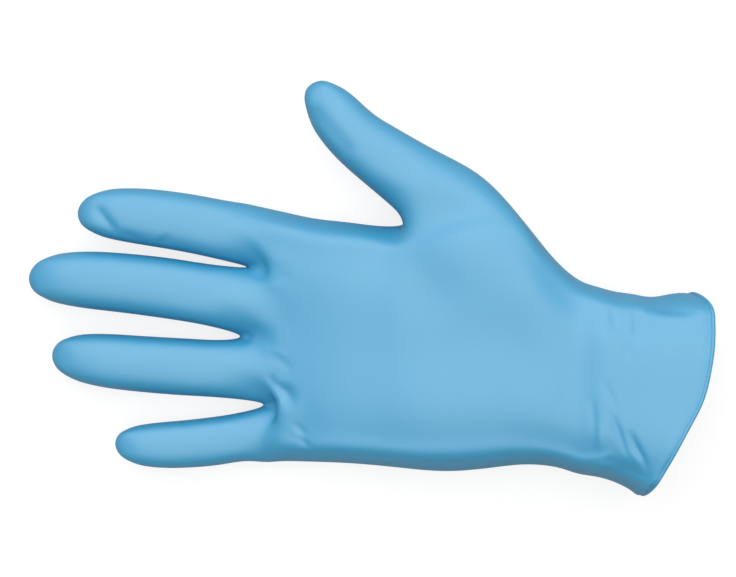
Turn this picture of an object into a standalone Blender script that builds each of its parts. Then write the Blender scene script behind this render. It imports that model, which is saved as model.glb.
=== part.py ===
"""A nitrile exam glove, lying on its back with the palm up, as it keeps the form of a hand.

The glove is one dipped film: palm, four fingers, thumb and cuff in one piece, open at the cuff,
where the film is rolled into a bead. +X runs from the fingers to the cuff, +Y to the thumb side
and +Z up from the table. Lengths are in metres.

The outer surface is a coarse cage of quads that a Subdivision Surface rounds off. Rings of points
run round the palm and cuff, and smaller rings round the fingers and the thumb. Dents and folds
are then pressed into it, it is laid on the table, and Solidify gives the film its thickness.
"""

import math
from typing import NamedTuple

import bmesh
import bpy
import numpy as np

# The film. A real one is about 0.1 mm thick, and this solid takes the thinnest sound wall.
FILM_THICKNESS = 0.001
BEAD_DIAMETER = 0.0022

# The hand part, from the webs of the fingers to the wrist.
PALM_LENGTH = 0.110
PALM_BREADTH = 0.084
PALM_HEIGHT = 0.030
WEB_DEPTH = 0.005

# The wrist and the cuff.
WRIST_BREADTH = 0.066
WRIST_HEIGHT = 0.035
CUFF_LENGTH = 0.048
CUFF_BREADTH = 0.070
CUFF_HEIGHT = 0.041
RIM_BULGE = 0.0094

# The digits, each from its web to its tip.
INDEX_LENGTH = 0.0600
INDEX_BREADTH = 0.0200
MIDDLE_LENGTH = 0.0760
MIDDLE_BREADTH = 0.0207
RING_LENGTH = 0.0705
RING_BREADTH = 0.0195
LITTLE_LENGTH = 0.0528
LITTLE_BREADTH = 0.0166
THUMB_LENGTH = 0.0680
THUMB_BREADTH = 0.0200

# How far the weight of the glove settles it into its own film on the table.
SETTLE = 0.0007

NITRILE_BLUE = (0.19, 0.49, 0.72, 1.0)
NITRILE_ROUGHNESS = 0.38

# The points of a ring run from the thumb's edge over the palm side to the little finger's edge, and
# back to the thumb's edge over the back.
RING_POINTS = 20
LITTLE_EDGE = 9
THUMB_EDGE = 19
DIGIT_POINTS = 8
CAGE_FITS = 8


class Section(NamedTuple):
    """A ring across the palm or the cuff, from its thumb edge to its little-finger edge."""

    thumb_x: float
    thumb_y: float
    little_x: float
    little_y: float
    height: float
    slope: float
    bulge: float = 0.0


# The palm: x in shares of PALM_LENGTH from the webs, y of PALM_BREADTH, height of PALM_HEIGHT, and
# slope is how much higher the thumb side stands, as a share of that height.
PALM_SECTIONS = (
    Section(0.080, 0.558, 0.125, -0.508, 0.66, 0.12),
    Section(0.150, 0.537, 0.190, -0.507, 0.72, 0.11),
    Section(0.235, 0.514, 0.260, -0.509, 0.79, 0.09),
    Section(0.335, 0.499, 0.345, -0.513, 0.86, 0.07),
    Section(0.440, 0.482, 0.440, -0.522, 0.92, 0.08),
    Section(0.520, 0.497, 0.530, -0.533, 0.97, 0.12),
    Section(0.675, 0.580, 0.655, -0.543, 1.02, 0.14),
    Section(0.845, 0.582, 0.790, -0.529, 1.07, 0.11),
    Section(0.930, 0.448, 0.900, -0.514, 1.11, 0.06),
)
# The first and last of the three palm sections that the thumb grows out of.
THUMB_ROOT = (5, 7)

# The wrist: x in shares of PALM_LENGTH, y of WRIST_BREADTH from the palm's midline, height of
# WRIST_HEIGHT.
WRIST_SECTIONS = (
    Section(1.000, 0.428, 1.000, -0.668, 0.98, 0.00),
    Section(1.070, 0.330, 1.065, -0.700, 1.00, 0.00),
)

# The cuff: x in shares of CUFF_LENGTH from the wrist, y of CUFF_BREADTH, height of CUFF_HEIGHT,
# and how far its palm side reaches on past its corners, in shares of RIM_BULGE.
CUFF_SECTIONS = (
    Section(0.290, 0.276, 0.280, -0.675, 0.90, 0.00, 0.05),
    Section(0.430, 0.250, 0.385, -0.693, 0.92, 0.00, 0.12),
    Section(0.560, 0.237, 0.460, -0.713, 0.94, 0.00, 0.25),
    Section(0.690, 0.223, 0.520, -0.734, 0.96, 0.00, 0.42),
    Section(0.820, 0.236, 0.560, -0.753, 0.98, 0.00, 0.65),
    Section(0.920, 0.243, 0.590, -0.766, 1.00, 0.00, 0.88),
    Section(1.010, 0.237, 0.640, -0.760, 1.00, 0.00, 1.00),
)
# How square the ring's corners are, at the webs and at the rim, on the palm side and on the back.
PALM_SQUARENESS = (3.4, 3.0)
BACK_SQUARENESS = (4.0, 2.5)
# The same for the reach of the rim, towards the thumb and towards the little finger.
BULGE_SQUARENESS = (2.1, 1.05)
EDGE_HEIGHT = 0.46

# Where the ring's points lie across the palm, from +1 at its thumb edge to -1 at its little edge.
ACROSS = (0.90, 0.73, 0.50, 0.23, -0.04, -0.30, -0.56, -0.76, -0.90)


class RootPoint(NamedTuple):
    """A point between two fingers, or beside the outer ones, seen from above."""

    x: float
    y: float


# x in shares of PALM_LENGTH and y of PALM_BREADTH, from the index finger to the little finger.
FINGER_ROOTS = (
    RootPoint(0.010, 0.577),
    RootPoint(0.010, 0.311),
    RootPoint(-0.013, 0.023),
    RootPoint(0.062, -0.265),
    RootPoint(0.072, -0.511),
)


# The webs stand between these shares of the depth of the fingers beside them, and each finger's root
# rises to this share of its own. The outer fingers round in by this share of their breadth.
WEB_TOP = 0.88
WEB_BOTTOM = 0.14
ROOT_CREST = 1.08
EDGE_INSET = 0.13


class Finger(NamedTuple):
    """Heading turns from -X towards the thumb side. Bow and lift are in shares of the breadth."""

    length: float
    breadth: float
    heading: float
    bow: float
    lift: float


FINGERS = (
    Finger(INDEX_LENGTH, INDEX_BREADTH, math.radians(8.0), 0.08, 0.12),
    Finger(MIDDLE_LENGTH, MIDDLE_BREADTH, math.radians(6.5), 0.08, 0.06),
    Finger(RING_LENGTH, RING_BREADTH, math.radians(4.4), -0.05, 0.05),
    Finger(LITTLE_LENGTH, LITTLE_BREADTH, math.radians(-4.4), -0.11, 0.14),
)
FINGER_DEPTH = 0.88
FINGER_ROOT_BREADTH = 1.06
# The corners of a digit's ring stand out by this share, which makes its palm side a little flatter.
DIGIT_SQUARENESS = 1.09


class TipRing(NamedTuple):
    """A ring near a fingertip, both in shares of the digit's breadth."""

    from_tip: float
    breadth: float


SHAFT_RINGS = (0.22, 0.50, 0.78)
TIP_RINGS = (
    TipRing(1.12, 0.985),
    TipRing(0.72, 0.915),
    TipRing(0.40, 0.780),
    TipRing(0.17, 0.560),
)


class ThumbRing(NamedTuple):
    """A ring round the thumb, square to its heading but for its turn."""

    along: float
    aside: float
    turn: float
    breadth: float
    depth: float


# Along in shares of THUMB_LENGTH, aside, breadth and depth in shares of THUMB_BREADTH.
THUMB_RINGS = (
    ThumbRing(0.165, 0.05, math.radians(30), 1.62, 1.30),
    ThumbRing(0.350, -0.02, math.radians(21), 1.33, 1.14),
    ThumbRing(0.530, -0.09, math.radians(11), 1.12, 1.00),
    ThumbRing(0.670, -0.11, math.radians(8), 1.00, 0.90),
    ThumbRing(0.795, -0.06, math.radians(7), 0.92, 0.80),
    ThumbRing(0.885, -0.01, math.radians(5), 0.76, 0.64),
    ThumbRing(0.950, 0.01, math.radians(0), 0.54, 0.46),
)
THUMB_HEADING = math.radians(40)
THUMB_CENTRE_HEIGHT = 0.78
THUMB_LIFT = 0.10


def arch(share, power):
    """Height of a rounded arch over a point that lies this share of the way from its middle."""
    return (1.0 - min(abs(share), 1.0) ** power) ** (1.0 / power)


def beneath(place):
    """The point of a ring's back that lies under this point of its palm side."""
    return THUMB_EDGE - 1 - place


def palm_ring(section, start, length, breadth, height):
    """Twenty points round the hand: nine on the palm side, one at each edge, nine on the back."""
    top = section.height * height
    middle = EDGE_HEIGHT * top
    thumb = np.array((start + section.thumb_x * length, section.thumb_y * breadth))
    little = np.array((start + section.little_x * length, section.little_y * breadth))
    way = np.clip((thumb[0] + little[0]) / 2.0 / (PALM_LENGTH + CUFF_LENGTH), 0.0, 1.0)
    palm_power = PALM_SQUARENESS[0] + (PALM_SQUARENESS[1] - PALM_SQUARENESS[0]) * way
    back_power = BACK_SQUARENESS[0] + (BACK_SQUARENESS[1] - BACK_SQUARENESS[0]) * way
    ring = np.zeros((RING_POINTS, 3))
    for place, share in enumerate(ACROSS):
        on_line = little + (thumb - little) * (1.0 + share) / 2.0
        reach = section.bulge * RIM_BULGE * arch(share, BULGE_SQUARENESS[0 if share > 0.0 else 1])
        rise = top * (1.0 + section.slope * share) - middle
        ring[place] = (on_line[0] + reach, on_line[1], middle + rise * arch(share, palm_power))
        ring[beneath(place)] = (on_line[0], on_line[1], middle * (1.0 - arch(share, back_power)))
    ring[LITTLE_EDGE] = (*little, middle)
    ring[THUMB_EDGE] = (*thumb, middle)
    return ring


def palm_rings():
    """The rings from just behind the webs to the rim of the cuff, which ends in its bead."""
    rings = [palm_ring(row, 0.0, PALM_LENGTH, PALM_BREADTH, PALM_HEIGHT) for row in PALM_SECTIONS]
    rings += [palm_ring(row, 0.0, PALM_LENGTH, WRIST_BREADTH, WRIST_HEIGHT) for row in WRIST_SECTIONS]
    rings += [
        palm_ring(row, PALM_LENGTH, CUFF_LENGTH, CUFF_BREADTH, CUFF_HEIGHT) for row in CUFF_SECTIONS
    ]
    rings.insert(-1, rings[-1] - np.array((BEAD_DIAMETER, 0.0, 0.0)))
    return rings


def root_points():
    """The points between the fingers and beside the outer ones."""
    return [np.array((row.x * PALM_LENGTH, row.y * PALM_BREADTH)) for row in FINGER_ROOTS]


def root_ring():
    """The ring that the fingers start from, and the three points in the webs between them."""
    ring = np.zeros((RING_POINTS, 3))
    roots = root_points()
    insets = [EDGE_INSET * INDEX_BREADTH, 0.0, 0.0, 0.0, -EDGE_INSET * LITTLE_BREADTH]
    reaches = [0.0, WEB_DEPTH, WEB_DEPTH, WEB_DEPTH, 0.0]
    for edge, (root, inset, reach) in enumerate(zip(roots, insets, reaches)):
        beside = FINGERS[max(edge - 1, 0) : edge + 1]
        depth = FINGER_DEPTH * sum(finger.breadth for finger in beside) / len(beside)
        ring[2 * edge] = (root[0] + reach, root[1] - inset, WEB_TOP * depth)
        ring[beneath(2 * edge)] = (root[0] + reach, root[1] - inset, WEB_BOTTOM * depth)
    for place, finger in enumerate(FINGERS):
        middle = (roots[place] + roots[place + 1]) / 2.0
        ring[2 * place + 1] = (*middle, ROOT_CREST * FINGER_DEPTH * finger.breadth)
        ring[beneath(2 * place + 1)] = (*middle, 0.0)
    ring[LITTLE_EDGE] = (*roots[4], FINGER_DEPTH * LITTLE_BREADTH / 2.0)
    ring[THUMB_EDGE] = (*roots[0], FINGER_DEPTH * INDEX_BREADTH / 2.0)
    webs = [np.array((*root, FINGER_DEPTH * RING_BREADTH / 2.0)) for root in roots[1:4]]
    return ring, webs


def digit_ring(centre, across, breadth, depth):
    """Eight points round a digit. The first is on its palm side, half round towards across."""
    ring = np.zeros((DIGIT_POINTS, 3))
    for place in range(DIGIT_POINTS):
        angle = 2.0 * math.pi * (1.0 - place) / DIGIT_POINTS
        reach = 1.0 if place % 2 else DIGIT_SQUARENESS
        flat = centre[:2] + across * reach * math.sin(angle) * breadth / 2.0
        ring[place] = (*flat, centre[2] + reach * math.cos(angle) * depth / 2.0)
    return ring


def heading_axes(heading):
    """The way that a digit points, and the way across it to the side of the thumb and wrist."""
    ahead = np.array((-math.cos(heading), math.sin(heading)))
    return ahead, np.array((ahead[1], -ahead[0]))


def finger_rings(place, finger):
    """The rings of one finger, from its root to its tip, and the point of its tip."""
    ahead, aside = heading_axes(finger.heading)
    first, second = root_points()[place : place + 2]
    depth = FINGER_DEPTH * finger.breadth
    shaft = finger.length - TIP_RINGS[0].from_tip * finger.breadth
    rows = [(share * shaft, 1.0 + (FINGER_ROOT_BREADTH - 1.0) * (1.0 - share)) for share in SHAFT_RINGS]
    rows += [(finger.length - row.from_tip * finger.breadth, row.breadth) for row in TIP_RINGS]

    def centre_at(along):
        share = along / finger.length
        bow = finger.bow * finger.breadth * 4.0 * share * (1.0 - share)
        flat = (first + second) / 2.0 + ahead * along + aside * bow
        return np.array((*flat, depth / 2.0 + finger.lift * finger.breadth * share * share))

    rings = [digit_ring(centre_at(along), aside, size * finger.breadth, size * depth) for along, size in rows]
    return rings, centre_at(finger.length)


def thumb_rings(root):
    """The rings of the thumb, and the point of its tip, from the middle of its root."""
    ahead, aside = heading_axes(THUMB_HEADING)

    def centre_at(along, outward):
        flat = root[:2] + ahead * along * THUMB_LENGTH + aside * outward * THUMB_BREADTH
        return np.array((*flat, (THUMB_CENTRE_HEIGHT + THUMB_LIFT * along) * THUMB_BREADTH))

    rings = []
    for row in THUMB_RINGS:
        across = -heading_axes(THUMB_HEADING + row.turn)[1]
        centre = centre_at(row.along, row.aside)
        rings.append(digit_ring(centre, across, row.breadth * THUMB_BREADTH, row.depth * THUMB_BREADTH))
    return rings, centre_at(1.0, 0.0)


class Region(NamedTuple):
    """A part of the glove that forms are placed on, by shares of its own length and breadth."""

    origin: np.ndarray
    ahead: np.ndarray
    aside: np.ndarray


def regions(thumb_root):
    """The frames that the table of forms names."""
    frames = {
        "palm": Region(np.zeros(2), np.array((PALM_LENGTH, 0.0)), np.array((0.0, PALM_BREADTH))),
        "cuff": Region(
            np.array((PALM_LENGTH, 0.0)), np.array((CUFF_LENGTH, 0.0)), np.array((0.0, CUFF_BREADTH))
        ),
    }
    roots = root_points()
    for place, name in enumerate(("index", "middle", "ring", "little")):
        finger = FINGERS[place]
        ahead, aside = heading_axes(finger.heading)
        middle = (roots[place] + roots[place + 1]) / 2.0
        frames[name] = Region(middle, ahead * finger.length, aside * finger.breadth)
    ahead, aside = heading_axes(THUMB_HEADING)
    frames["thumb"] = Region(thumb_root[:2], ahead * THUMB_LENGTH, aside * THUMB_BREADTH)
    return frames


def loft(quads, first, second, skipped=()):
    """Quads between two rings of as many points."""
    count = len(first)
    for place in range(count):
        after = (place + 1) % count
        if place not in skipped:
            quads.append((first[place], second[place], second[after], first[after]))


def close_tip(quads, ring, tip):
    """Four quads from the last ring of a digit to the point of its tip."""
    for place in range(0, DIGIT_POINTS, 2):
        quads.append((tip, ring[place], ring[place + 1], ring[(place + 2) % DIGIT_POINTS]))


class Cage:
    """The points that the surface runs through, and the quads between them."""

    def __init__(self):
        self.points = []
        self.quads = []

    def add(self, points):
        """Adds points and returns their numbers."""
        first = len(self.points)
        self.points.extend(points)
        return list(range(first, len(self.points)))

    def add_digit(self, root, rings, tip):
        """Lofts a digit from a ring that is there already, and closes its tip."""
        last = root
        for ring in rings:
            numbers = self.add(ring)
            loft(self.quads, last, numbers)
            last = numbers
        close_tip(self.quads, last, self.add([tip])[0])


def glove_cage():
    """The whole cage, and the middle of the thumb's root."""
    cage = Cage()
    root, webs = root_ring()
    root_numbers = cage.add(root)
    web_numbers = cage.add(webs)
    sections = palm_rings()
    numbers = [cage.add(ring) for ring in sections]
    loft(cage.quads, root_numbers, numbers[0])
    for place in range(len(numbers) - 1):
        in_thumb = THUMB_ROOT[0] <= place < THUMB_ROOT[1]
        hole = (THUMB_EDGE - 1, THUMB_EDGE) if in_thumb else ()
        loft(cage.quads, numbers[place], numbers[place + 1], hole)

    sides = [root_numbers[THUMB_EDGE], *web_numbers, root_numbers[LITTLE_EDGE]]
    for place, finger in enumerate(FINGERS):
        palm_side = [root_numbers[2 * place + step] for step in range(3)]
        back_side = [root_numbers[beneath(2 * place + 2 - step)] for step in range(3)]
        ring = [*palm_side, sides[place + 1], *back_side, sides[place]]
        cage.add_digit(ring, *finger_rings(place, finger))

    first, middle, last = (numbers[place] for place in range(THUMB_ROOT[0], THUMB_ROOT[1] + 1))
    thumb_root = (sections[THUMB_ROOT[0]][THUMB_EDGE] + sections[THUMB_ROOT[1]][THUMB_EDGE]) / 2.0
    over = [ring[0] for ring in (first, middle, last)]
    under = [ring[beneath(0)] for ring in (last, middle, first)]
    ring = [*over, last[THUMB_EDGE], *under, first[THUMB_EDGE]]
    cage.add_digit(ring, *thumb_rings(thumb_root))
    return cage, thumb_root


def cage_mesh(cage):
    """The cage as a mesh, without the point that the thumb's root leaves unused."""
    shape = bmesh.new()
    points = [shape.verts.new(point) for point in cage.points]
    for quad in cage.quads:
        shape.faces.new([points[number] for number in quad])
    bmesh.ops.delete(shape, geom=[point for point in shape.verts if not point.link_faces], context="VERTS")
    bmesh.ops.recalc_face_normals(shape, faces=shape.faces[:])
    return shape


def limit_weights(shape):
    """For each point, the share that the smooth surface takes there of each point of the cage."""
    shape.verts.index_update()
    weights = np.zeros((len(shape.verts), len(shape.verts)))
    for point in shape.verts:
        row = weights[point.index]
        nearby = {edge.other_vert(point): edge for edge in point.link_edges}
        if point.is_boundary:
            row[point.index] = 4.0 / 6.0
            for other, edge in nearby.items():
                row[other.index] = edge.is_boundary / 6.0
            continue
        count = len(nearby)
        whole = count * (count + 5.0)
        row[point.index] = count * count / whole
        for other in nearby:
            row[other.index] = 4.0 / whole
        for face in point.link_faces:
            (opposite,) = (corner for corner in face.verts if corner != point and corner not in nearby)
            row[opposite.index] += 1.0 / whole
    return weights


def push_out(shape):
    """Moves the cage out until the smooth surface, which lies inside it, runs through its points."""
    wanted = np.array([point.co[:] for point in shape.verts])
    weights = limit_weights(shape)
    moved = wanted.copy()
    for _ in range(CAGE_FITS):
        moved += wanted - weights @ moved
    for point, place in zip(shape.verts, moved):
        point.co = place


def subdivided(shape, name):
    """The smooth surface of the cage, one level down, as a mesh of its own."""
    mesh = bpy.data.meshes.new(name + "_cage")
    shape.to_mesh(mesh)
    holder = bpy.data.objects.new(name + "_cage", mesh)
    bpy.context.scene.collection.objects.link(holder)
    smoother = holder.modifiers.new("Smooth", "SUBSURF")
    smoother.levels = 1
    smoother.render_levels = 1
    graph = bpy.context.evaluated_depsgraph_get()
    smooth = bpy.data.meshes.new_from_object(holder.evaluated_get(graph))
    bpy.data.objects.remove(holder)
    return smooth


class Form(NamedTuple):
    """A dent or fold pressed in along a line, or raised where its depth is below zero."""

    region: str
    start_along: float
    start_aside: float
    end_along: float
    end_aside: float
    width: float
    depth: float
    face: int = 1


# Along in shares of the region's length, the rest in shares of its breadth. Face is 1 for the palm
# side and -1 for the back.
FORMS = (
    # The ball of the thumb, the hollow of the palm and the heel of the hand.
    Form("palm", 0.74, 0.48, 0.88, 0.24, 0.22, -0.008),
    Form("palm", 0.52, 0.38, 0.60, 0.32, 0.13, 0.010),
    Form("palm", 0.62, -0.30, 0.86, -0.30, 0.20, -0.012),
    # The valleys that run on from the webs.
    Form("palm", 0.02, 0.300, 0.14, 0.275, 0.036, 0.012),
    Form("palm", 0.00, 0.018, 0.08, 0.020, 0.040, 0.012),
    Form("palm", 0.07, -0.257, 0.11, -0.262, 0.030, 0.008),
    # The creases and the pinch at the roots of the ring finger and the little finger.
    Form("palm", 0.089, -0.044, 0.154, -0.105, 0.026, 0.006),
    Form("palm", 0.061, -0.020, 0.142, -0.069, 0.026, -0.005),
    Form("palm", 0.100, -0.175, 0.160, -0.232, 0.030, 0.014),
    Form("palm", 0.180, -0.392, 0.216, -0.442, 0.026, 0.009),
    # The slack of the index fingertip, and the flat beside the thumb's tip.
    Form("index", 0.86, 0.02, 0.79, -0.20, 0.14, 0.045),
    Form("index", 0.70, -0.26, 0.60, -0.36, 0.12, 0.030),
    Form("index", 0.57, -0.33, 0.42, -0.22, 0.12, 0.022),
    Form("thumb", 0.88, -0.30, 0.66, -0.40, 0.18, 0.036),
    # The gathers of the wrist and cuff, and the turned lip of its top edge.
    Form("cuff", 0.225, -0.26, 0.243, -0.46, 0.036, 0.006),
    Form("cuff", 0.280, -0.38, 0.292, -0.55, 0.036, -0.006),
    Form("cuff", 0.380, -0.29, 0.505, -0.56, 0.036, 0.012),
    Form("cuff", 0.515, -0.45, 0.660, -0.63, 0.036, 0.014),
    Form("cuff", 0.200, -0.63, 0.620, -0.71, 0.036, 0.014),
    Form("cuff", 0.540, 0.17, 0.540, 0.00, 0.036, 0.008),
    Form("cuff", 0.600, 0.18, 1.000, 0.150, 0.036, 0.016),
    # Slack folds over the back of the wrist.
    Form("cuff", 0.12, 0.10, 0.22, -0.42, 0.045, 0.014, -1),
    Form("cuff", 0.44, -0.05, 0.40, -0.52, 0.045, 0.016, -1),
)


def press_forms(shape, places):
    """Moves the surface along its own normals by each row of the table of forms."""
    shape.normal_update()
    points = np.array([point.co[:] for point in shape.verts])
    normals = np.array([point.normal[:] for point in shape.verts])
    moves = np.zeros(len(points))
    for form in FORMS:
        place = places[form.region]
        unit = np.linalg.norm(place.aside)
        start = place.origin + place.ahead * form.start_along + place.aside * form.start_aside
        end = place.origin + place.ahead * form.end_along + place.aside * form.end_aside
        line = end - start
        share = np.clip((points[:, :2] - start) @ line / (line @ line), 0.0, 1.0)
        nearest = start + share[:, None] * line
        distance = np.linalg.norm(points[:, :2] - nearest, axis=1) / (form.width * unit)
        facing = np.clip(normals[:, 2] * form.face * 2.0, 0.0, 1.0)
        moves += form.depth * unit * np.exp(-distance * distance) * facing
    for point, normal, move in zip(shape.verts, normals, moves):
        point.co = np.array(point.co) - normal * move


def roll_bead(shape):
    """Rounds the film out to a bead round the rim, and returns each point's thickness."""
    shape.normal_update()
    edge = {point for point in shape.verts if point.is_boundary}
    crest = {line.other_vert(point) for point in edge for line in point.link_edges} - edge
    for point in crest:
        point.co += point.normal * (BEAD_DIAMETER - FILM_THICKNESS) / 2.0
    thickness = {point.index: FILM_THICKNESS for point in shape.verts}
    thickness.update({point.index: BEAD_DIAMETER for point in crest})
    thickness.update({point.index: (FILM_THICKNESS + BEAD_DIAMETER) / 2.0 for point in edge})
    return thickness


def lay_on_table(shape):
    """Settles the glove on the table, flattens what would sink in, and centres it over the origin."""
    points = np.array([point.co[:] for point in shape.verts])
    points[:, 2] = np.maximum(points[:, 2] - points[:, 2].min() - SETTLE, 0.0)
    middle = (points[:, :2].min(axis=0) + points[:, :2].max(axis=0)) / 2.0
    points[:, :2] -= middle
    for point, place in zip(shape.verts, points):
        point.co = place


def nitrile():
    """Smooth blue nitrile with a soft sheen."""
    material = bpy.data.materials.new("nitrile")
    material.use_nodes = True
    shader = material.node_tree.nodes["Principled BSDF"]
    shader.inputs["Base Color"].default_value = NITRILE_BLUE
    shader.inputs["Roughness"].default_value = NITRILE_ROUGHNESS
    shader.inputs["Metallic"].default_value = 0.0
    return material


def thicken(glove, thickness):
    """Gives the film its wall, inwards from the outer surface, thicker in the bead."""
    group = glove.vertex_groups.new(name="film")
    for number, wall in thickness.items():
        group.add([number], wall / BEAD_DIAMETER, "REPLACE")
    wall = glove.modifiers.new("Film", "SOLIDIFY")
    wall.thickness = BEAD_DIAMETER
    wall.offset = -1.0
    wall.vertex_group = group.name


def glove_film(collection):
    """The whole glove."""
    cage, thumb_root = glove_cage()
    shape = cage_mesh(cage)
    push_out(shape)
    mesh = subdivided(shape, "glove_film")
    shape.free()

    shape = bmesh.new()
    shape.from_mesh(mesh)
    press_forms(shape, regions(thumb_root))
    thickness = roll_bead(shape)
    lay_on_table(shape)
    shape.to_mesh(mesh)
    shape.free()
    mesh.shade_smooth()
    mesh.materials.append(nitrile())

    glove = bpy.data.objects.new("glove_film", mesh)
    collection.objects.link(glove)
    thicken(glove, thickness)


def main():
    for thing in list(bpy.data.objects):
        bpy.data.objects.remove(thing)
    collection = bpy.data.collections.new("nitrile_exam_glove")
    bpy.context.scene.collection.children.link(collection)
    glove_film(collection)


main()
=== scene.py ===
# %% [markdown]
# # A nitrile exam glove
#
# The glove lies on its back with the palm up and keeps the form of a hand. The real one is a
# single film of blue nitrile, made by dipping a hand-shaped mould: palm, fingers, thumb and cuff
# in one piece, with a rolled bead round the cuff.
#
# This lesson builds it in the same order as the mould would be shaped: the hand as a coarse cage
# of quads, the smooth film over it, the slack that folds and dents it, and last the bead, the
# finish and the light. +X runs from the fingers to the cuff, +Y to the thumb's side and +Z up.

# %% Load the frame
import math
from typing import NamedTuple

import bmesh
import bpy
import numpy as np
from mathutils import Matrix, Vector


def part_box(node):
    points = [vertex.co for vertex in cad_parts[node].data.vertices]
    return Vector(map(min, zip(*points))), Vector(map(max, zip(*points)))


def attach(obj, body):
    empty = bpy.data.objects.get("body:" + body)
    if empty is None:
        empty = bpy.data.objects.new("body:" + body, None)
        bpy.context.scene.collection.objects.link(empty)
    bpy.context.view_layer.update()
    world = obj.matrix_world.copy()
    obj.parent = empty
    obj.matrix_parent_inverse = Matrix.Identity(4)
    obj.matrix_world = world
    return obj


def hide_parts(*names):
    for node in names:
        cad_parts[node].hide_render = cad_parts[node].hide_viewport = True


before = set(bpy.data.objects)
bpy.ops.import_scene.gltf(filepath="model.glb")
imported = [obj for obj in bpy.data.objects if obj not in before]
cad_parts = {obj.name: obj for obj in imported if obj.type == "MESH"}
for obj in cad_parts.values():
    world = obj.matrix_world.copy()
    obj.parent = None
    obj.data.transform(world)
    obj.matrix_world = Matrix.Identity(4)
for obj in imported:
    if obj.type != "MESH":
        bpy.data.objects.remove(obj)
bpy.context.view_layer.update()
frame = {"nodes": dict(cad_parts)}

film_low, film_high = (np.array(corner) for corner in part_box("glove_film"))
print("the glove's box in mm:", np.round((film_high - film_low) * 1000, 1))

# %% [markdown]
# ## The camera
#
# The photo looks straight down on the glove. A long lens from most of a metre away keeps the
# perspective as gentle as it is there. The picture is 736 pixels wide, and each one covers about
# 0.36 mm of the table, which sets the lens.

# %% The camera looks straight down
PICTURE_WIDTH = 736
TABLE_PER_PIXEL = 0.0003578
CAMERA_HEIGHT = 0.80
SENSOR_WIDTH = 36.0
CAMERA_PLACE = (0.0006, -0.0003)

camera_data = bpy.data.cameras.new("camera")
camera_data.sensor_width = SENSOR_WIDTH
camera_data.lens = SENSOR_WIDTH * CAMERA_HEIGHT / (PICTURE_WIDTH * TABLE_PER_PIXEL)
camera = bpy.data.objects.new("camera", camera_data)
camera.location = (*CAMERA_PLACE, CAMERA_HEIGHT)
bpy.context.scene.collection.objects.link(camera)
bpy.context.scene.camera = camera
print("lens in mm:", round(camera_data.lens, 1))

# %% [markdown]
# ## The hand in sections
#
# A hand could be sculpted, but sizes and sections say more about it. Each ring round the palm is
# one row of a table: where it starts on the thumb's edge, where it ends on the little finger's
# edge, and how high it stands. The rows hold shares of a few real lengths, so that the glove can
# be made longer or wider by changing one number.

# %% The sizes and the sections of the palm and the cuff
PALM_LENGTH, PALM_BREADTH, PALM_HEIGHT = 0.110, 0.084, 0.030
WRIST_BREADTH, WRIST_HEIGHT = 0.066, 0.035
CUFF_LENGTH, CUFF_BREADTH, CUFF_HEIGHT = 0.048, 0.070, 0.041
RIM_BULGE = 0.0094
BEAD_RADIUS = 0.0008


class Section(NamedTuple):
    thumb_x: float
    thumb_y: float
    little_x: float
    little_y: float
    height: float
    slope: float
    bulge: float = 0.0


# Shares of PALM_LENGTH, PALM_BREADTH and PALM_HEIGHT. Slope raises the thumb's side.
PALM_SECTIONS = (
    Section(0.080, 0.558, 0.125, -0.508, 0.66, 0.12),
    Section(0.150, 0.537, 0.190, -0.507, 0.72, 0.11),
    Section(0.235, 0.514, 0.260, -0.509, 0.79, 0.09),
    Section(0.335, 0.499, 0.345, -0.513, 0.86, 0.07),
    Section(0.440, 0.482, 0.440, -0.522, 0.92, 0.08),
    Section(0.520, 0.497, 0.530, -0.533, 0.97, 0.12),
    Section(0.675, 0.580, 0.655, -0.543, 1.02, 0.14),
    Section(0.845, 0.582, 0.790, -0.529, 1.07, 0.11),
    Section(0.930, 0.448, 0.900, -0.514, 1.11, 0.06),
)
# Shares of PALM_LENGTH, WRIST_BREADTH and WRIST_HEIGHT.
WRIST_SECTIONS = (
    Section(1.000, 0.428, 1.000, -0.668, 0.98, 0.00),
    Section(1.070, 0.330, 1.065, -0.700, 1.00, 0.00),
)
# Shares of CUFF_LENGTH, CUFF_BREADTH, CUFF_HEIGHT and RIM_BULGE.
CUFF_SECTIONS = (
    Section(0.290, 0.276, 0.280, -0.675, 0.90, 0.00, 0.05),
    Section(0.430, 0.250, 0.385, -0.693, 0.92, 0.00, 0.12),
    Section(0.560, 0.237, 0.460, -0.713, 0.94, 0.00, 0.25),
    Section(0.690, 0.223, 0.520, -0.734, 0.96, 0.00, 0.42),
    Section(0.820, 0.236, 0.560, -0.753, 0.98, 0.00, 0.65),
    Section(0.920, 0.243, 0.590, -0.766, 1.00, 0.00, 0.88),
    Section(1.010, 0.237, 0.640, -0.760, 1.00, 0.00, 1.00),
)
print("sections:", len(PALM_SECTIONS) + len(WRIST_SECTIONS) + len(CUFF_SECTIONS))

# %% [markdown]
# ## Rings round the hand
#
# Laid on a table, a filled glove is flat over the palm and flatter still on its back, and turns
# down quickly at the edges. An ellipse would make it a sausage. So each ring is drawn with
# rounded arches whose power says how square they are: a power of 2 is an ellipse, and higher ones
# keep the middle flat for longer.

# %% The rings of the palm, the wrist and the cuff
# A ring runs from the thumb's edge over the palm to the little finger's edge, and back beneath.
RING_POINTS, LITTLE_EDGE, THUMB_EDGE = 20, 9, 19
# Where its points lie across the palm, from +1 at the thumb's edge to -1 at the other.
ACROSS = (0.90, 0.73, 0.50, 0.23, -0.04, -0.30, -0.56, -0.76, -0.90)
# The powers of the arches at the fingers and at the rim, and then those of the rim's bulge on
# its thumb's side and on its other side.
PALM_SQUARENESS, BACK_SQUARENESS = (3.8, 3.1), (4.0, 2.5)
BULGE_SQUARENESS = (2.1, 1.05)
EDGE_HEIGHT = 0.46


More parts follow.
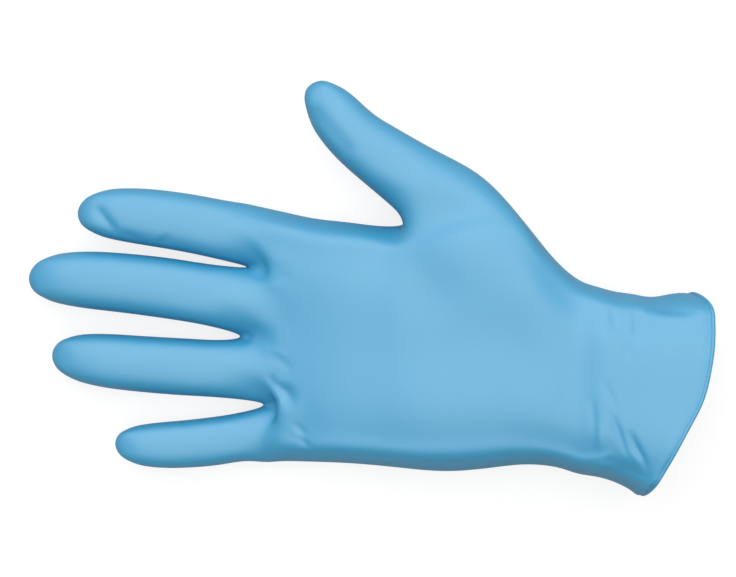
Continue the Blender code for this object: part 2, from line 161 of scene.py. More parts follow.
def arch(share, power):
    """Height of a rounded arch, this share of the way out from its middle."""
    return (1.0 - min(abs(share), 1.0) ** power) ** (1.0 / power)


def beneath(place):
    """The point of a ring's back that lies under this point of its palm side."""
    return THUMB_EDGE - 1 - place


def palm_ring(section, start, length, breadth, height):
    """Nine points over the palm side, nine under the back and one at each edge."""
    top = section.height * height
    middle = EDGE_HEIGHT * top
    thumb = np.array((start + section.thumb_x * length, section.thumb_y * breadth))
    little = np.array((start + section.little_x * length, section.little_y * breadth))
    way = np.clip((thumb[0] + little[0]) / 2.0 / (PALM_LENGTH + CUFF_LENGTH), 0.0, 1.0)
    palm_power = PALM_SQUARENESS[0] + (PALM_SQUARENESS[1] - PALM_SQUARENESS[0]) * way
    back_power = BACK_SQUARENESS[0] + (BACK_SQUARENESS[1] - BACK_SQUARENESS[0]) * way
    ring = np.zeros((RING_POINTS, 3))
    for place, share in enumerate(ACROSS):
        x, y = little + (thumb - little) * (1.0 + share) / 2.0
        bulge_power = BULGE_SQUARENESS[0 if share > 0.0 else 1]
        reach = section.bulge * RIM_BULGE * arch(share, bulge_power)
        rise = top * (1.0 + section.slope * max(share, 0.0)) - middle
        ring[place] = (x + reach, y, middle + rise * arch(share, palm_power))
        ring[beneath(place)] = (x, y, middle * (1.0 - arch(share, back_power)))
    ring[LITTLE_EDGE] = (*little, middle)
    ring[THUMB_EDGE] = (*thumb, middle)
    return ring


palm_rings = []
for sections, *measures in (
    (PALM_SECTIONS, 0.0, PALM_LENGTH, PALM_BREADTH, PALM_HEIGHT),
    (WRIST_SECTIONS, 0.0, PALM_LENGTH, WRIST_BREADTH, WRIST_HEIGHT),
    (CUFF_SECTIONS, PALM_LENGTH, CUFF_LENGTH, CUFF_BREADTH, CUFF_HEIGHT),
):
    palm_rings += [palm_ring(section, *measures) for section in sections]
# The sections end at the bead's outer edge, and the film ends in the middle of the bead.
palm_rings[-1][:, 0] -= BEAD_RADIUS
print("rings from the webs to the rim:", len(palm_rings))

# %% [markdown]
# ## The fingers
#
# All four fingers follow one pattern: a shaft that tapers a little, and a tip whose roundness
# depends on the finger's breadth and not on its length. So one table of tip rings serves them
# all, and each finger adds only its length, breadth, heading and bow. A ring of eight points is
# enough. Its corners are pushed out a little, since a finger on the table is squarer than a tube.

# %% The fingers
DIGIT_POINTS = 8
DIGIT_SQUARENESS = 1.09
FINGER_DEPTH = 0.88
FINGER_ROOT_BREADTH = 1.06
SHAFT_RINGS = (0.22, 0.50, 0.78)
# How far each ring lies from the tip, and its breadth, in shares of the finger's breadth.
TIP_RINGS = ((1.12, 0.985), (0.72, 0.915), (0.40, 0.780), (0.17, 0.560))


class Finger(NamedTuple):
    length: float
    breadth: float
    heading: float
    bow: float
    lift: float


FINGERS = (
    Finger(0.0600, 0.0200, math.radians(8.0), 0.08, 0.12),
    Finger(0.0760, 0.0207, math.radians(6.5), 0.08, 0.06),
    Finger(0.0705, 0.0195, math.radians(4.4), -0.05, 0.05),
    Finger(0.0528, 0.0166, math.radians(-4.4), -0.11, 0.14),
)
# The webs, and the outer edges beside them, in shares of PALM_LENGTH and PALM_BREADTH.
FINGER_ROOTS = (
    (0.010, 0.577),
    (0.010, 0.311),
    (-0.013, 0.023),
    (0.062, -0.265),
    (0.072, -0.511),
)
roots = [np.array((x * PALM_LENGTH, y * PALM_BREADTH)) for x, y in FINGER_ROOTS]


def heading_axes(heading):
    """The way that a digit points, and the way across it to the thumb's side."""
    ahead = np.array((-math.cos(heading), math.sin(heading)))
    return ahead, np.array((ahead[1], -ahead[0]))


def digit_ring(centre, side, breadth, depth):
    """Eight points round a finger or the thumb, with its corners pushed out a little."""
    ring = np.zeros((DIGIT_POINTS, 3))
    for place in range(DIGIT_POINTS):
        angle = 2.0 * math.pi * (1.0 - place) / DIGIT_POINTS
        reach = 1.0 if place % 2 else DIGIT_SQUARENESS
        flat = centre[:2] + side * reach * math.sin(angle) * breadth / 2.0
        ring[place] = (*flat, centre[2] + reach * math.cos(angle) * depth / 2.0)
    return ring


def finger_rings(place, finger):
    """The rings of one finger, and the point of its tip."""
    ahead, side = heading_axes(finger.heading)
    root = (roots[place] + roots[place + 1]) / 2.0
    depth = FINGER_DEPTH * finger.breadth
    shaft = finger.length - TIP_RINGS[0][0] * finger.breadth
    flare = FINGER_ROOT_BREADTH - 1.0
    rows = [(share * shaft, 1.0 + flare * (1.0 - share)) for share in SHAFT_RINGS]
    rows += [(finger.length - from_tip * finger.breadth, size) for from_tip, size in TIP_RINGS]

    def centre_at(along):
        share = along / finger.length
        # The bow is nothing at the root and the tip and whole halfway, hence the 4.
        bow = finger.bow * finger.breadth * 4.0 * share * (1.0 - share)
        lift = finger.lift * finger.breadth * share * share
        return np.array((*(root + ahead * along + side * bow), depth / 2.0 + lift))

    rings = []
    for along, size in rows:
        rings.append(digit_ring(centre_at(along), side, size * finger.breadth, size * depth))
    return rings, centre_at(finger.length)


print("finger lengths in mm:", [round(finger.length * 1000, 1) for finger in FINGERS])

# %% [markdown]
# ## The webs
#
# Between two fingers the film is one saddle. A separate patch would have to be fitted to both
# sides. Here the fingers simply start from one shared ring that rises over each finger and dips
# at each web, and three points stand out in front of it, one in each web.

# %% The ring that the fingers start from
WEB_DEPTH = 0.005
# The webs stand between these shares of the depth of the fingers beside them, and each finger's
# root rises to this share of its own. The outer fingers round in by this share of their breadth.
WEB_TOP, WEB_BOTTOM = 0.88, 0.14
ROOT_CREST = 1.08
EDGE_INSET = 0.13


def root_ring():
    """The ring that the fingers start from, and the three points in the webs."""
    ring = np.zeros((RING_POINTS, 3))
    insets = (EDGE_INSET, 0.0, 0.0, 0.0, -EDGE_INSET)
    reaches = (0.0, WEB_DEPTH, WEB_DEPTH, WEB_DEPTH, 0.0)
    for edge, (root, inset, reach) in enumerate(zip(roots, insets, reaches)):
        beside = FINGERS[max(edge - 1, 0) : edge + 1]
        depth = FINGER_DEPTH * sum(finger.breadth for finger in beside) / len(beside)
        x, y = root[0] + reach, root[1] - inset * beside[0].breadth
        ring[2 * edge] = (x, y, WEB_TOP * depth)
        ring[beneath(2 * edge)] = (x, y, WEB_BOTTOM * depth)
    for place, finger in enumerate(FINGERS):
        middle = (roots[place] + roots[place + 1]) / 2.0
        ring[2 * place + 1] = (*middle, ROOT_CREST * FINGER_DEPTH * finger.breadth)
        ring[beneath(2 * place + 1)] = (*middle, 0.0)
    index_middle, _, ring_middle, little_middle = (
        FINGER_DEPTH * finger.breadth / 2.0 for finger in FINGERS
    )
    ring[LITTLE_EDGE] = (*roots[-1], little_middle)
    ring[THUMB_EDGE] = (*roots[0], index_middle)
    return ring, [np.array((*root, ring_middle)) for root in roots[1:-1]]


first_ring, web_points = root_ring()
print("webs at x in mm:", [round(float(point[0]) * 1000, 1) for point in web_points])

# %% [markdown]
# ## The thumb
#
# The thumb leaves the palm broad and turned, and straightens as it narrows, because the film
# stretches from its root to the ball of the hand. A finger's plain shaft can't do that. So the
# thumb has a table of its own, a row for each ring, with how far it still turns.

# %% The thumb
THUMB_LENGTH, THUMB_BREADTH = 0.0680, 0.0200
THUMB_HEADING = math.radians(40)
THUMB_CENTRE_HEIGHT, THUMB_LIFT = 0.78, 0.10
# The first and the last of the palm's rings that the thumb's root spans.
THUMB_ROOT = (5, 7)


class ThumbRing(NamedTuple):
    along: float
    aside: float
    turn: float
    breadth: float
    depth: float


THUMB_RINGS = (
    ThumbRing(0.165, 0.05, math.radians(30), 1.62, 1.30),
    ThumbRing(0.350, -0.02, math.radians(21), 1.33, 1.14),
    ThumbRing(0.530, -0.09, math.radians(11), 1.12, 1.00),
    ThumbRing(0.670, -0.11, math.radians(8), 1.00, 0.90),
    ThumbRing(0.795, -0.06, math.radians(7), 0.92, 0.80),
    ThumbRing(0.885, -0.01, math.radians(5), 0.76, 0.64),
    ThumbRing(0.950, 0.01, math.radians(0), 0.54, 0.46),
)
thumb_ahead, thumb_outer = heading_axes(THUMB_HEADING)
thumb_root = sum(palm_rings[row][THUMB_EDGE] for row in THUMB_ROOT) / 2.0


def thumb_centre(along, aside):
    """A point inside the thumb, by its length and its distance from the axis."""
    outward = thumb_outer * aside * THUMB_BREADTH
    flat = thumb_root[:2] + thumb_ahead * along * THUMB_LENGTH + outward
    return np.array((*flat, (THUMB_CENTRE_HEIGHT + THUMB_LIFT * along) * THUMB_BREADTH))


def thumb_rings():
    """The rings of the thumb, each turned a little less than the one before it."""
    rings = []
    for row in THUMB_RINGS:
        across = -heading_axes(THUMB_HEADING + row.turn)[1]
        centre = thumb_centre(row.along, row.aside)
        breadth, depth = row.breadth * THUMB_BREADTH, row.depth * THUMB_BREADTH
        rings.append(digit_ring(centre, across, breadth, depth))
    return rings, thumb_centre(1.0, 0.0)


print("thumb root in mm:", np.round(thumb_root * 1000, 1))

# %% [markdown]
# ## Joining the rings
#
# The rings are joined with quads. Where two fingers meet, their rings share three points, and the
# thumb's ring runs round a hole that is left in the side of the palm. A mesh made this way has no
# seam to hide, as a dipped film has none.

# %% The cage
points, quads = [], []


def add(new_points):
    """Adds points to the cage and returns their numbers."""
    first = len(points)
    points.extend(new_points)
    return list(range(first, len(points)))


def loft(first, second, skipped=()):
    """Quads between two rings of as many points."""
    count = len(first)
    for place in range(count):
        after = (place + 1) % count
        if place not in skipped:
            quads.append((first[place], second[place], second[after], first[after]))


def add_digit(ring, rings, tip):
    """Lofts a digit on from a ring of the hand and closes its tip with four quads."""
    for new_points in rings:
        numbers = add(new_points)
        loft(ring, numbers)
        ring = numbers
    (end,) = add([tip])
    for place in range(0, DIGIT_POINTS, 2):
        quads.append((end, ring[place], ring[place + 1], ring[(place + 2) % DIGIT_POINTS]))


base, webs = add(first_ring), add(web_points)
rows = [add(ring) for ring in palm_rings]
loft(base, rows[0])
under = beneath(0)
for place in range(len(rows) - 1):
    beside_thumb = THUMB_ROOT[0] <= place < THUMB_ROOT[1]
    loft(rows[place], rows[place + 1], (under, THUMB_EDGE) if beside_thumb else ())
sides = [base[THUMB_EDGE], *webs, base[LITTLE_EDGE]]
for place, finger in enumerate(FINGERS):
    palm_side = [base[2 * place + step] for step in range(3)]
    back_side = [base[beneath(2 * place + 2) + step] for step in range(3)]
    outline = [*palm_side, sides[place + 1], *back_side, sides[place]]
    add_digit(outline, *finger_rings(place, finger))
near, mid, far = rows[THUMB_ROOT[0] : THUMB_ROOT[1] + 1]
over_hole = [near[0], mid[0], far[0], far[THUMB_EDGE]]
under_hole = [far[under], mid[under], near[under], near[THUMB_EDGE]]
add_digit(over_hole + under_hole, *thumb_rings())
print("cage:", len(points), "points and", len(quads), "quads")

# %% [markdown]
# ## Smoothing the cage
#
# Subdivision Surface rounds a cage off, but it also draws the surface inside it, and a finger
# would come out a tenth too thin. The rule for where the smooth surface passes each point is
# known, so the cage is pushed out a few times until the surface runs through the sections.

# %% How the smooth surface follows the cage
def limit_weights(shape):
    """For each point of the cage, the shares of its neighbours in the smooth surface there.

    Inside, a point with n neighbours counts n * n times, each neighbour 4 times and the far
    corner of each quad once. On the rim it counts 4 times and its two rim neighbours once.
    """
    weights = np.zeros((len(shape.verts), len(shape.verts)))
    for point in shape.verts:
        row = weights[point.index]
        nearby = {edge.other_vert(point): edge for edge in point.link_edges}
        if point.is_boundary:
            row[point.index] = 4.0 / 6.0
            for other, edge in nearby.items():
                row[other.index] = edge.is_boundary / 6.0
            continue
        count = len(nearby)
        whole = count * (count + 5.0)
        row[point.index] = count * count / whole
        for other in nearby:
            row[other.index] = 4.0 / whole
        for face in point.link_faces:
            others = (corner for corner in face.verts if corner != point)
            (opposite,) = (corner for corner in others if corner not in nearby)
            row[opposite.index] += 1.0 / whole
    return weights


shape = bmesh.new()
corners = [shape.verts.new(point) for point in points]
for quad in quads:
    shape.faces.new([corners[number] for number in quad])
unused = [point for point in shape.verts if not point.link_faces]
bmesh.ops.delete(shape, geom=unused, context="VERTS")
bmesh.ops.recalc_face_normals(shape, faces=shape.faces[:])
shape.verts.index_update()
weights = limit_weights(shape)
print("cage points that carry the surface:", len(shape.verts))

# %% [markdown]
# ## The smooth hand
#
# Each fit moves every point by what the surface still misses there. After eight the surface is
# off by a fraction of a millimetre at its worst point, which the cell prints. Then the modifier
# does the rounding, and its result is kept as a plain mesh, because the folds move its points one
# by one.

# %% The smooth hand
SMOOTH_LEVELS = 3
CAGE_FITS = 8

wanted = np.array([point.co[:] for point in shape.verts])
pushed = wanted.copy()
for _ in range(CAGE_FITS):
    pushed += wanted - weights @ pushed
for point, place in zip(shape.verts, pushed):
    point.co = place
cage_mesh = bpy.data.meshes.new("cage")
shape.to_mesh(cage_mesh)
shape.free()

holder = bpy.data.objects.new("cage", cage_mesh)
bpy.context.scene.collection.objects.link(holder)
smoother = holder.modifiers.new("Smooth", "SUBSURF")
smoother.levels = smoother.render_levels = SMOOTH_LEVELS
graph = bpy.context.evaluated_depsgraph_get()
hand_mesh = bpy.data.meshes.new_from_object(holder.evaluated_get(graph))
bpy.data.objects.remove(holder)
miss = np.linalg.norm(wanted - weights @ pushed, axis=1).max() * 1000
print("smooth surface:", len(hand_mesh.polygons), "quads, at most", round(miss, 2), "mm off")

# %% [markdown]
# ## Slack, dents and folds
#
# The film is a little too large for the hand inside it, and the slack shows as dents at the
# fingertips, valleys between the fingers, pinched creases at their roots and gathers at the
# wrist. A cloth simulation would find folds of its own, but these have known places. So each one
# is a row that names a frame: a finger, the thumb, the palm or the cuff. A fold placed in shares
# of that frame moves and grows with it when a length changes.

# %% The frames that folds are placed in
def finger_frame(place):
    """From a finger's root towards its tip, and across it to the thumb's side."""
    finger = FINGERS[place]
    ahead, aside = heading_axes(finger.heading)
    middle = (roots[place] + roots[place + 1]) / 2.0
    return middle, ahead * finger.length, aside * finger.breadth


palm_end = np.array((PALM_LENGTH, 0.0))
cuff_run, cuff_across = np.array((CUFF_LENGTH, 0.0)), np.array((0.0, CUFF_BREADTH))
FRAMES = {
    "index": finger_frame(0),
    "thumb": (thumb_root[:2], thumb_ahead * THUMB_LENGTH, thumb_outer * THUMB_BREADTH),
    "palm": (np.zeros(2), palm_end, np.array((0.0, PALM_BREADTH))),
    "cuff": (palm_end, cuff_run, cuff_across),
}
print("frames:", ", ".join(FRAMES))

# %% [markdown]
# ## The table of folds
#
# A row is a line on the glove, how wide the fold is to each side of it, and how deep it is
# pressed in along the surface's own normal. Rows below zero raise a ridge. Width and depth are
# shares of the frame's breadth. Broad dents keep their depth to the end of their line, and narrow
# folds run out to nothing at both ends, as a crease in a stretched film does.

# %% The dents and the folds
PALM_SIDE, BACK_SIDE = 1, -1


class Fold(NamedTuple):
    frame: str
    start_along: float
    start_aside: float
    end_along: float
    end_aside: float
    width: float
    depth: float
    face: int = PALM_SIDE


DENTS = (
    # The ball of the thumb, the hollow under its web and the heel of the hand.
    Fold("palm", 0.74, 0.48, 0.88, 0.24, 0.20, -0.016),
    Fold("palm", 0.50, 0.38, 0.58, 0.22, 0.13, 0.016),
    Fold("palm", 0.62, -0.30, 0.86, -0.30, 0.20, -0.012),
    # The slack of the index fingertip, and the flat beside the thumb's tip.
    Fold("index", 0.86, 0.02, 0.79, -0.20, 0.13, 0.036),
    Fold("thumb", 0.88, -0.30, 0.66, -0.40, 0.17, 0.036),
)
FOLDS = (
    # Between the index finger and the middle finger.
    Fold("palm", 0.015, 0.299, 0.085, 0.271, 0.016, 0.008),
    Fold("palm", 0.025, 0.263, 0.175, 0.259, 0.013, 0.004),
    Fold("palm", -0.040, 0.318, 0.160, 0.290, 0.036, 0.010),
    # Between the middle finger and the ring finger.
    Fold("palm", -0.005, 0.018, 0.040, 0.010, 0.016, 0.008),
    Fold("palm", -0.060, 0.032, 0.110, 0.020, 0.038, 0.010),
    Fold("palm", 0.050, -0.014, 0.150, -0.074, 0.015, -0.004),
    Fold("palm", 0.080, -0.036, 0.165, -0.114, 0.014, 0.005),
    # The pocket between the ring finger and the little finger.
    Fold("palm", 0.080, -0.136, 0.118, -0.200, 0.015, 0.007),
    Fold("palm", 0.102, -0.180, 0.165, -0.222, 0.018, 0.012),
    Fold("palm", 0.105, -0.208, 0.180, -0.244, 0.034, 0.013),
    Fold("palm", 0.068, -0.222, 0.108, -0.228, 0.018, -0.004),
    Fold("palm", 0.060, -0.257, 0.120, -0.262, 0.020, 0.010),
    # The creases at the root of the little finger.
    Fold("palm", 0.160, -0.334, 0.215, -0.398, 0.013, 0.004),
    Fold("palm", 0.155, -0.356, 0.207, -0.424, 0.014, -0.002),
    Fold("palm", 0.176, -0.386, 0.220, -0.448, 0.014, 0.006),
    # The slack of the index finger.
    Fold("index", 0.90, 0.16, 0.72, -0.34, 0.06, 0.020),
    Fold("index", 0.74, -0.24, 0.56, -0.38, 0.07, 0.022),
    Fold("index", 0.53, -0.34, 0.44, -0.02, 0.05, -0.010),
    Fold("index", 0.52, -0.40, 0.42, -0.20, 0.06, 0.016),
    # The gathers of the wrist and the pinched lower corner of the cuff.
    Fold("cuff", 0.00, -0.18, 0.00, -0.42, 0.018, 0.003),
    Fold("cuff", 0.225, -0.26, 0.243, -0.46, 0.018, 0.005),
    Fold("cuff", 0.280, -0.38, 0.292, -0.55, 0.020, -0.006),
    Fold("cuff", 0.300, -0.17, 0.400, -0.34, 0.018, 0.005),
    Fold("cuff", 0.340, -0.32, 0.480, -0.56, 0.018, 0.009),
    Fold("cuff", 0.470, -0.42, 0.620, -0.63, 0.018, 0.013),
    Fold("cuff", 0.500, -0.53, 0.590, -0.60, 0.016, -0.006),
    Fold("cuff", 0.120, -0.578, 0.400, -0.545, 0.018, -0.005),
    Fold("cuff", 0.300, -0.590, 0.680, -0.690, 0.040, 0.024),
    # The thumb's side of the cuff, and the lip of its edge there.
    Fold("cuff", 0.540, 0.17, 0.540, 0.00, 0.018, 0.006),
    Fold("cuff", 0.375, 0.18, 0.390, 0.06, 0.018, 0.004),
    Fold("cuff", 0.478, 0.02, 0.478, -0.09, 0.018, 0.004),
    Fold("cuff", 0.600, 0.180, 1.000, 0.150, 0.030, 0.016),
    # Slack over the back of the wrist.
    Fold("cuff", 0.12, 0.10, 0.22, -0.42, 0.030, 0.012, BACK_SIDE),
    Fold("cuff", 0.44, -0.05, 0.40, -0.52, 0.030, 0.014, BACK_SIDE),
)
print("dents:", len(DENTS), "folds:", len(FOLDS))

# %% [markdown]
# ## Pressing the folds in
#
# All the rows are added up at every point before anything moves, so that crossing folds meet
# evenly. A fold on the palm side must not mark the back behind it, so it counts only where the
# surface faces its way, and it fades over the flanks.

# %% Pressing the folds in
# A fold has its whole depth where the surface faces its side by half or more.
FACING_GAIN = 2.0


def read_points(mesh, kind):
    """The place ("co") or the normal of each of the mesh's points, as rows of x, y and z."""
    flat = np.empty(len(mesh.vertices) * 3)
    mesh.vertices.foreach_get(kind, flat)
    return flat.reshape(-1, 3)


def folds_depth(places, normals, folds, fades):
    """How far each point is pressed in by all the folds together."""
    depths = np.zeros(len(places))
    for fold in folds:
        origin, ahead, aside = FRAMES[fold.frame]
        start = origin + ahead * fold.start_along + aside * fold.start_aside
        line = origin + ahead * fold.end_along + aside * fold.end_aside - start
        share = np.clip((places[:, :2] - start) @ line / (line @ line), 0.0, 1.0)
        unit = np.linalg.norm(aside)
        nearest = share[:, None] * line
        away = np.linalg.norm(places[:, :2] - start - nearest, axis=1) / (fold.width * unit)
        facing = np.clip(normals[:, 2] * fold.face * FACING_GAIN, 0.0, 1.0)
        fading = np.sin(math.pi * share) if fades else 1.0
        depths += fold.depth * unit * np.exp(-away * away) * facing * fading
    return depths


places, normals = read_points(hand_mesh, "co"), read_points(hand_mesh, "normal")
depths = folds_depth(places, normals, DENTS, False) + folds_depth(places, normals, FOLDS, True)
places -= normals * depths[:, None]
extremes = np.round((depths.max() * 1000, depths.min() * 1000), 2)
print("deepest dent and highest ridge in mm:", extremes)

# %% [markdown]
# ## Laying it down
#
# A soft film settles on the table under its own weight. Every point that would sink below the
# table is laid flat on it, which gives the back its real, slightly uneven print. Then Solidify
# gives the film its thickness, inwards, so that the outline stays where it is.

# %% The glove lies on the table
SETTLE = 0.0007
FILM_THICKNESS = 0.0003

places[:, 2] = np.maximum(places[:, 2] - places[:, 2].min() - SETTLE, 0.0)
low, high = places[:, :2].min(axis=0), places[:, :2].max(axis=0)
places[:, 0] += (film_low[0] + film_high[0] - low[0] - high[0] - BEAD_RADIUS) / 2.0
places[:, 1] += (film_low[1] + film_high[1] - low[1] - high[1]) / 2.0
hand_mesh.vertices.foreach_set("co", places.ravel())
hand_mesh.update()
hand_mesh.shade_smooth()
hand_mesh.name = "film"
film = bpy.data.objects.new("film", hand_mesh)
bpy.context.scene.collection.objects.link(film)
wall = film.modifiers.new("Film", "SOLIDIFY")
wall.thickness = FILM_THICKNESS
wall.offset = -1.0
print("points on the table:", int((places[:, 2] == 0.0).sum()))

# %% [markdown]
# ## The rolled bead
#
# At the factory a brush rolls the wet film back on itself, which leaves a cord of a bead round
# the cuff. A torus bent to the rim would never quite meet it. The bead follows the rim's own edge
# loop instead, which is what is left of the film's mesh when everything else is deleted.

# %% The rim as a path
rim = bmesh.new()
rim.from_mesh(hand_mesh)
inner = [edge for edge in rim.edges if not edge.is_boundary]
bmesh.ops.delete(rim, geom=inner, context="EDGES_FACES")
loose = [point for point in rim.verts if not point.link_edges]
bmesh.ops.delete(rim, geom=loose, context="VERTS")
for point in rim.verts:
    point.co.z = max(point.co.z - BEAD_RADIUS / 2.0, BEAD_RADIUS)
rim_mesh = bpy.data.meshes.new("bead")
rim.to_mesh(rim_mesh)
rim.free()
bead = bpy.data.objects.new("bead", rim_mesh)
bpy.context.scene.collection.objects.link(bead)
print("rim:", len(rim_mesh.edges), "edges")

# %% [markdown]
# ## A tree that sweeps the bead
#
# Geometry Nodes sweep a circle along the rim. The rim is cut into even steps first, so that the
# bead's quads don't bunch where the film's are small, and a slow noise makes the radius waver as
# a rolled edge does. The sizes are named inputs of the tree, so another cuff could use it as is.

# %% Geometry Nodes sweep the bead
BEAD_SIDES = 12
BEAD_STEP = 0.0008
BEAD_WAVER = 0.10
WAVER_SCALE, WAVER_DETAIL = 220.0, 2.0

tree = bpy.data.node_groups.new("rolled bead", "GeometryNodeTree")
tree.interface.new_socket("Rim", in_out="INPUT", socket_type="NodeSocketGeometry")
tree.interface.new_socket("Bead", in_out="OUTPUT", socket_type="NodeSocketGeometry")
sizes = {}
for name, value in (("Radius", BEAD_RADIUS), ("Step", BEAD_STEP), ("Waver", BEAD_WAVER)):
    socket = tree.interface.new_socket(name, in_out="INPUT", socket_type="NodeSocketFloat")
    sizes[socket.identifier] = value
finish_socket = tree.interface.new_socket(
    "Finish", in_out="INPUT", socket_type="NodeSocketMaterial"
)


def add_node(to_tree, kind, **settings):
    """A new node in this tree, with these settings."""
    made = to_tree.nodes.new(kind)
    for setting, value in settings.items():
        setattr(made, setting, value)
    return made


def join(in_tree, source, output, target, socket):
    """Links one node's output to another node's input."""
    in_tree.links.new(source.outputs[output], target.inputs[socket])


given = add_node(tree, "NodeGroupInput")
path = add_node(tree, "GeometryNodeMeshToCurve")
even = add_node(tree, "GeometryNodeResampleCurve", mode="LENGTH")
noise = add_node(tree, "ShaderNodeTexNoise")
noise.inputs["Scale"].default_value = WAVER_SCALE
noise.inputs["Detail"].default_value = WAVER_DETAIL
# Noise lies between 0 and 1, so 2 * (noise - 0.5) * waver + 1 is the radius's share.
centred = add_node(tree, "ShaderNodeMath", operation="SUBTRACT")
centred.inputs[1].default_value = 0.5
swing = add_node(tree, "ShaderNodeMath", operation="MULTIPLY")
factor = add_node(tree, "ShaderNodeMath", operation="MULTIPLY_ADD")
factor.inputs[1].default_value = 2.0
factor.inputs[2].default_value = 1.0
radius = add_node(tree, "GeometryNodeSetCurveRadius")
profile = add_node(tree, "GeometryNodeCurvePrimitiveCircle")
profile.inputs["Resolution"].default_value = BEAD_SIDES
sweep = add_node(tree, "GeometryNodeCurveToMesh")
smooth = add_node(tree, "GeometryNodeSetShadeSmooth")
real = add_node(tree, "GeometryNodeRealizeInstances")
painted = add_node(tree, "GeometryNodeSetMaterial")
result = add_node(tree, "NodeGroupOutput")
for source, output, target, socket in (
    (given, "Rim", path, "Mesh"),
    (path, "Curve", even, "Curve"),
    (given, "Step", even, "Length"),
    (even, "Curve", radius, "Curve"),
    (noise, "Fac", centred, 0),
    (centred, "Value", swing, 0),
    (given, "Waver", swing, 1),
    (swing, "Value", factor, 0),
    (factor, "Value", radius, "Radius"),
    (radius, "Curve", sweep, "Curve"),
    (given, "Radius", profile, "Radius"),
    (profile, "Curve", sweep, "Profile Curve"),
    (sweep, "Mesh", smooth, "Geometry"),
    (smooth, "Geometry", real, "Geometry"),
    (real, "Geometry", painted, "Geometry"),
    (given, "Finish", painted, "Material"),
    (painted, "Geometry", result, "Bead"),
):
    join(tree, source, output, target, socket)
print("nodes in the bead's tree:", len(tree.nodes))

# %% [markdown]
# ## The finish
#
# Nitrile is dull where cloth would be and bright where glass would be: a satin sheen over a body
# colour that light goes a little way into. The film is even, with only the faintest clouding
# from the dip. A node group holds that clouding, because it gives nothing but a colour and any
# dipped film could share it. A finer noise roughens the surface enough to break up the
# highlights.

# %% The nitrile
NITRILE = (0.029, 0.304, 0.534, 1.0)
NITRILE_SHADE = (0.025, 0.290, 0.515, 1.0)
ROUGHNESS = 0.50
SPECULAR_LEVEL = 1.0
REFRACTION = 1.60
CLOUD_SCALE, CLOUD_DETAIL = 28.0, 3.0
GRAIN_SCALE = 900.0
GRAIN_HEIGHT = 0.00002

clouding = bpy.data.node_groups.new("clouded film", "ShaderNodeTree")
for name, way in (("Light", "INPUT"), ("Shade", "INPUT"), ("Colour", "OUTPUT")):
    clouding.interface.new_socket(name, in_out=way, socket_type="NodeSocketColor")
cloud_in = add_node(clouding, "NodeGroupInput")
cloud_out = add_node(clouding, "NodeGroupOutput")
cloud_where = add_node(clouding, "ShaderNodeTexCoord")
cloud = add_node(clouding, "ShaderNodeTexNoise")
cloud.inputs["Scale"].default_value = CLOUD_SCALE
cloud.inputs["Detail"].default_value = CLOUD_DETAIL
blend = add_node(clouding, "ShaderNodeMix", data_type="RGBA")
join(clouding, cloud_where, "Object", cloud, "Vector")
join(clouding, cloud, "Fac", blend, "Factor")
join(clouding, cloud_in, "Light", blend, "A")
join(clouding, cloud_in, "Shade", blend, "B")
join(clouding, blend, "Result", cloud_out, "Colour")

nitrile = bpy.data.materials.new("nitrile")
nitrile.use_nodes = True
shading = nitrile.node_tree
shader = shading.nodes["Principled BSDF"]
shader.inputs["Roughness"].default_value = ROUGHNESS
shader.inputs["Specular IOR Level"].default_value = SPECULAR_LEVEL
shader.inputs["IOR"].default_value = REFRACTION
clouded = add_node(shading, "ShaderNodeGroup", node_tree=clouding)
clouded.inputs["Light"].default_value = NITRILE
clouded.inputs["Shade"].default_value = NITRILE_SHADE
where = add_node(shading, "ShaderNodeTexCoord")
grain = add_node(shading, "ShaderNodeTexNoise")
grain.inputs["Scale"].default_value = GRAIN_SCALE
bump = add_node(shading, "ShaderNodeBump")
bump.inputs["Distance"].default_value = GRAIN_HEIGHT
join(shading, where, "Object", grain, "Vector")
join(shading, grain, "Fac", bump, "Height")
join(shading, bump, "Normal", shader, "Normal")
join(shading, clouded, "Colour", shader, "Base Color")
hand_mesh.materials.append(nitrile)
print("nitrile:", [round(value, 3) for value in NITRILE[:3]])

# %% [markdown]
# ## The bead as a mesh
#
# The tree needs the finished material, so it runs only now. Its result replaces the bead's rim
# and the modifier goes, which leaves a plain mesh that any other program can read.

# %% The bead becomes a plain mesh
sweeper = bead.modifiers.new("Sweep", "NODES")
sweeper.node_group = tree
for identifier, value in sizes.items():
    sweeper[identifier] = value
sweeper[finish_socket.identifier] = nitrile
graph = bpy.context.evaluated_depsgraph_get()
swept = bpy.data.meshes.new_from_object(bead.evaluated_get(graph))
bead.modifiers.clear()
bead.data = swept
swept.name = "bead"
print("bead:", len(swept.polygons), "quads, in mm", np.round(np.array(bead.dimensions) * 1000, 1))

# %% [markdown]
# ## The table
#
# The photo was taken for a catalogue, on a table so white that only a soft shadow tells where it
# is. Such a bright table would also throw light up into the glove's flanks and wash them out. So
# its paint is grey to the glove, and a glow that only the camera sees makes it white.

# %% The table
FLOOR_SIZE = 4.0
FLOOR_WHITE = (0.42, 0.42, 0.42, 1.0)
FLOOR_ROUGHNESS = 0.9
TABLE_GLOW = 1.75
GLOW_SHARE = 0.45

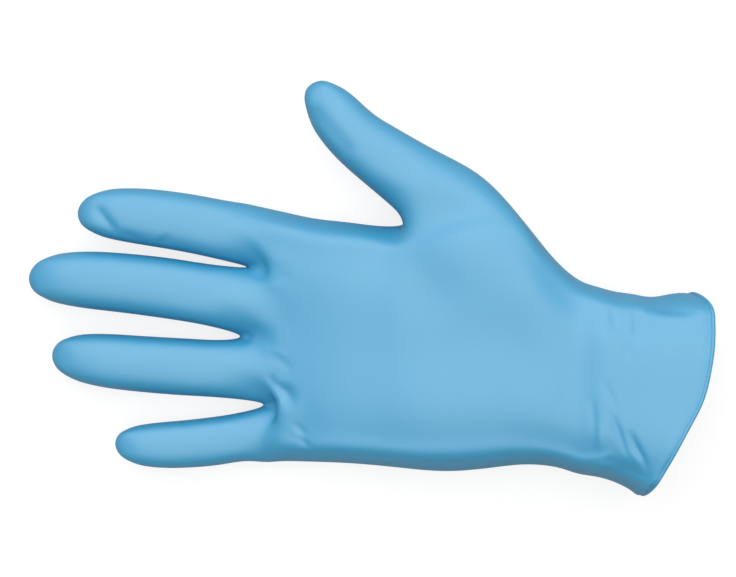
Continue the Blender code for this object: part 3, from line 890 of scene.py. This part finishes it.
floor_shape = bmesh.new()
bmesh.ops.create_grid(floor_shape, x_segments=1, y_segments=1, size=FLOOR_SIZE / 2.0)
floor_mesh = bpy.data.meshes.new("table")
floor_shape.to_mesh(floor_mesh)
floor_shape.free()
table = bpy.data.objects.new("table", floor_mesh)
bpy.context.scene.collection.objects.link(table)
paint = bpy.data.materials.new("table white")
paint.use_nodes = True
surface = paint.node_tree
white = surface.nodes["Principled BSDF"]
white.inputs["Base Color"].default_value = FLOOR_WHITE
white.inputs["Roughness"].default_value = FLOOR_ROUGHNESS
glow = add_node(surface, "ShaderNodeEmission")
glow.inputs["Strength"].default_value = TABLE_GLOW
rays = add_node(surface, "ShaderNodeLightPath")
seen = add_node(surface, "ShaderNodeMath", operation="MULTIPLY")
seen.inputs[1].default_value = GLOW_SHARE
mixed = add_node(surface, "ShaderNodeMixShader")
join(surface, rays, "Is Camera Ray", seen, 0)
join(surface, seen, "Value", mixed, 0)
join(surface, white, "BSDF", mixed, 1)
join(surface, glow, "Emission", mixed, 2)
join(surface, mixed, "Shader", surface.nodes["Material Output"], "Surface")
floor_mesh.materials.append(paint)
print("table:", FLOOR_SIZE, "m square")

# %% [markdown]
# ## The light
#
# One broad softbox hangs over the glove, a little to the thumb's side. It lays the even, pale
# sheen over the palm and the fingers. In the photo the flanks towards the little finger fall off
# to a deeper blue, so the white room is bright on the thumb's side and dim on the other.

# %% The light
ROOM_NEAR, ROOM_FAR = 0.10, 0.80
LIGHT_WIDTH = 1.3
LIGHT_HEIGHT = 2.4
LIGHT_POWER = 17.4
LIGHT_PLACE = (-0.05, 0.22, 1.05)

world = bpy.data.worlds.new("white room")
world.use_nodes = True
room = world.node_tree
backdrop = room.nodes["Background"]
backdrop.inputs["Color"].default_value = (1.0, 1.0, 1.0, 1.0)
direction = add_node(room, "ShaderNodeTexCoord")
axes = add_node(room, "ShaderNodeSeparateXYZ")
brighter = add_node(room, "ShaderNodeMapRange")
# A direction's Y runs from -1 to 1, and its strength from one side of the room to the other.
for name, value in (
    ("From Min", -1.0),
    ("From Max", 1.0),
    ("To Min", ROOM_NEAR),
    ("To Max", ROOM_FAR),
):
    brighter.inputs[name].default_value = value
join(room, direction, "Generated", axes, "Vector")
join(room, axes, "Y", brighter, "Value")
join(room, brighter, "Result", backdrop, "Strength")
bpy.context.scene.world = world

panel = bpy.data.lights.new("softbox", "AREA")
panel.shape = "RECTANGLE"
panel.size = LIGHT_WIDTH
panel.size_y = LIGHT_HEIGHT
panel.energy = LIGHT_POWER
softbox = bpy.data.objects.new("softbox", panel)
softbox.location = LIGHT_PLACE
softbox.rotation_euler = (-Vector(LIGHT_PLACE)).to_track_quat("-Z", "Y").to_euler()
bpy.context.scene.collection.objects.link(softbox)
bpy.context.scene.view_settings.view_transform = "Standard"
print("softbox:", LIGHT_POWER, "W")

# %% [markdown]
# ## Into the frame
#
# Both pieces belong to the one body of the CAD part, and they stand in for its film.

# %% The pieces join the frame
for piece in (film, bead):
    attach(piece, "root")
    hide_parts("glove_film")
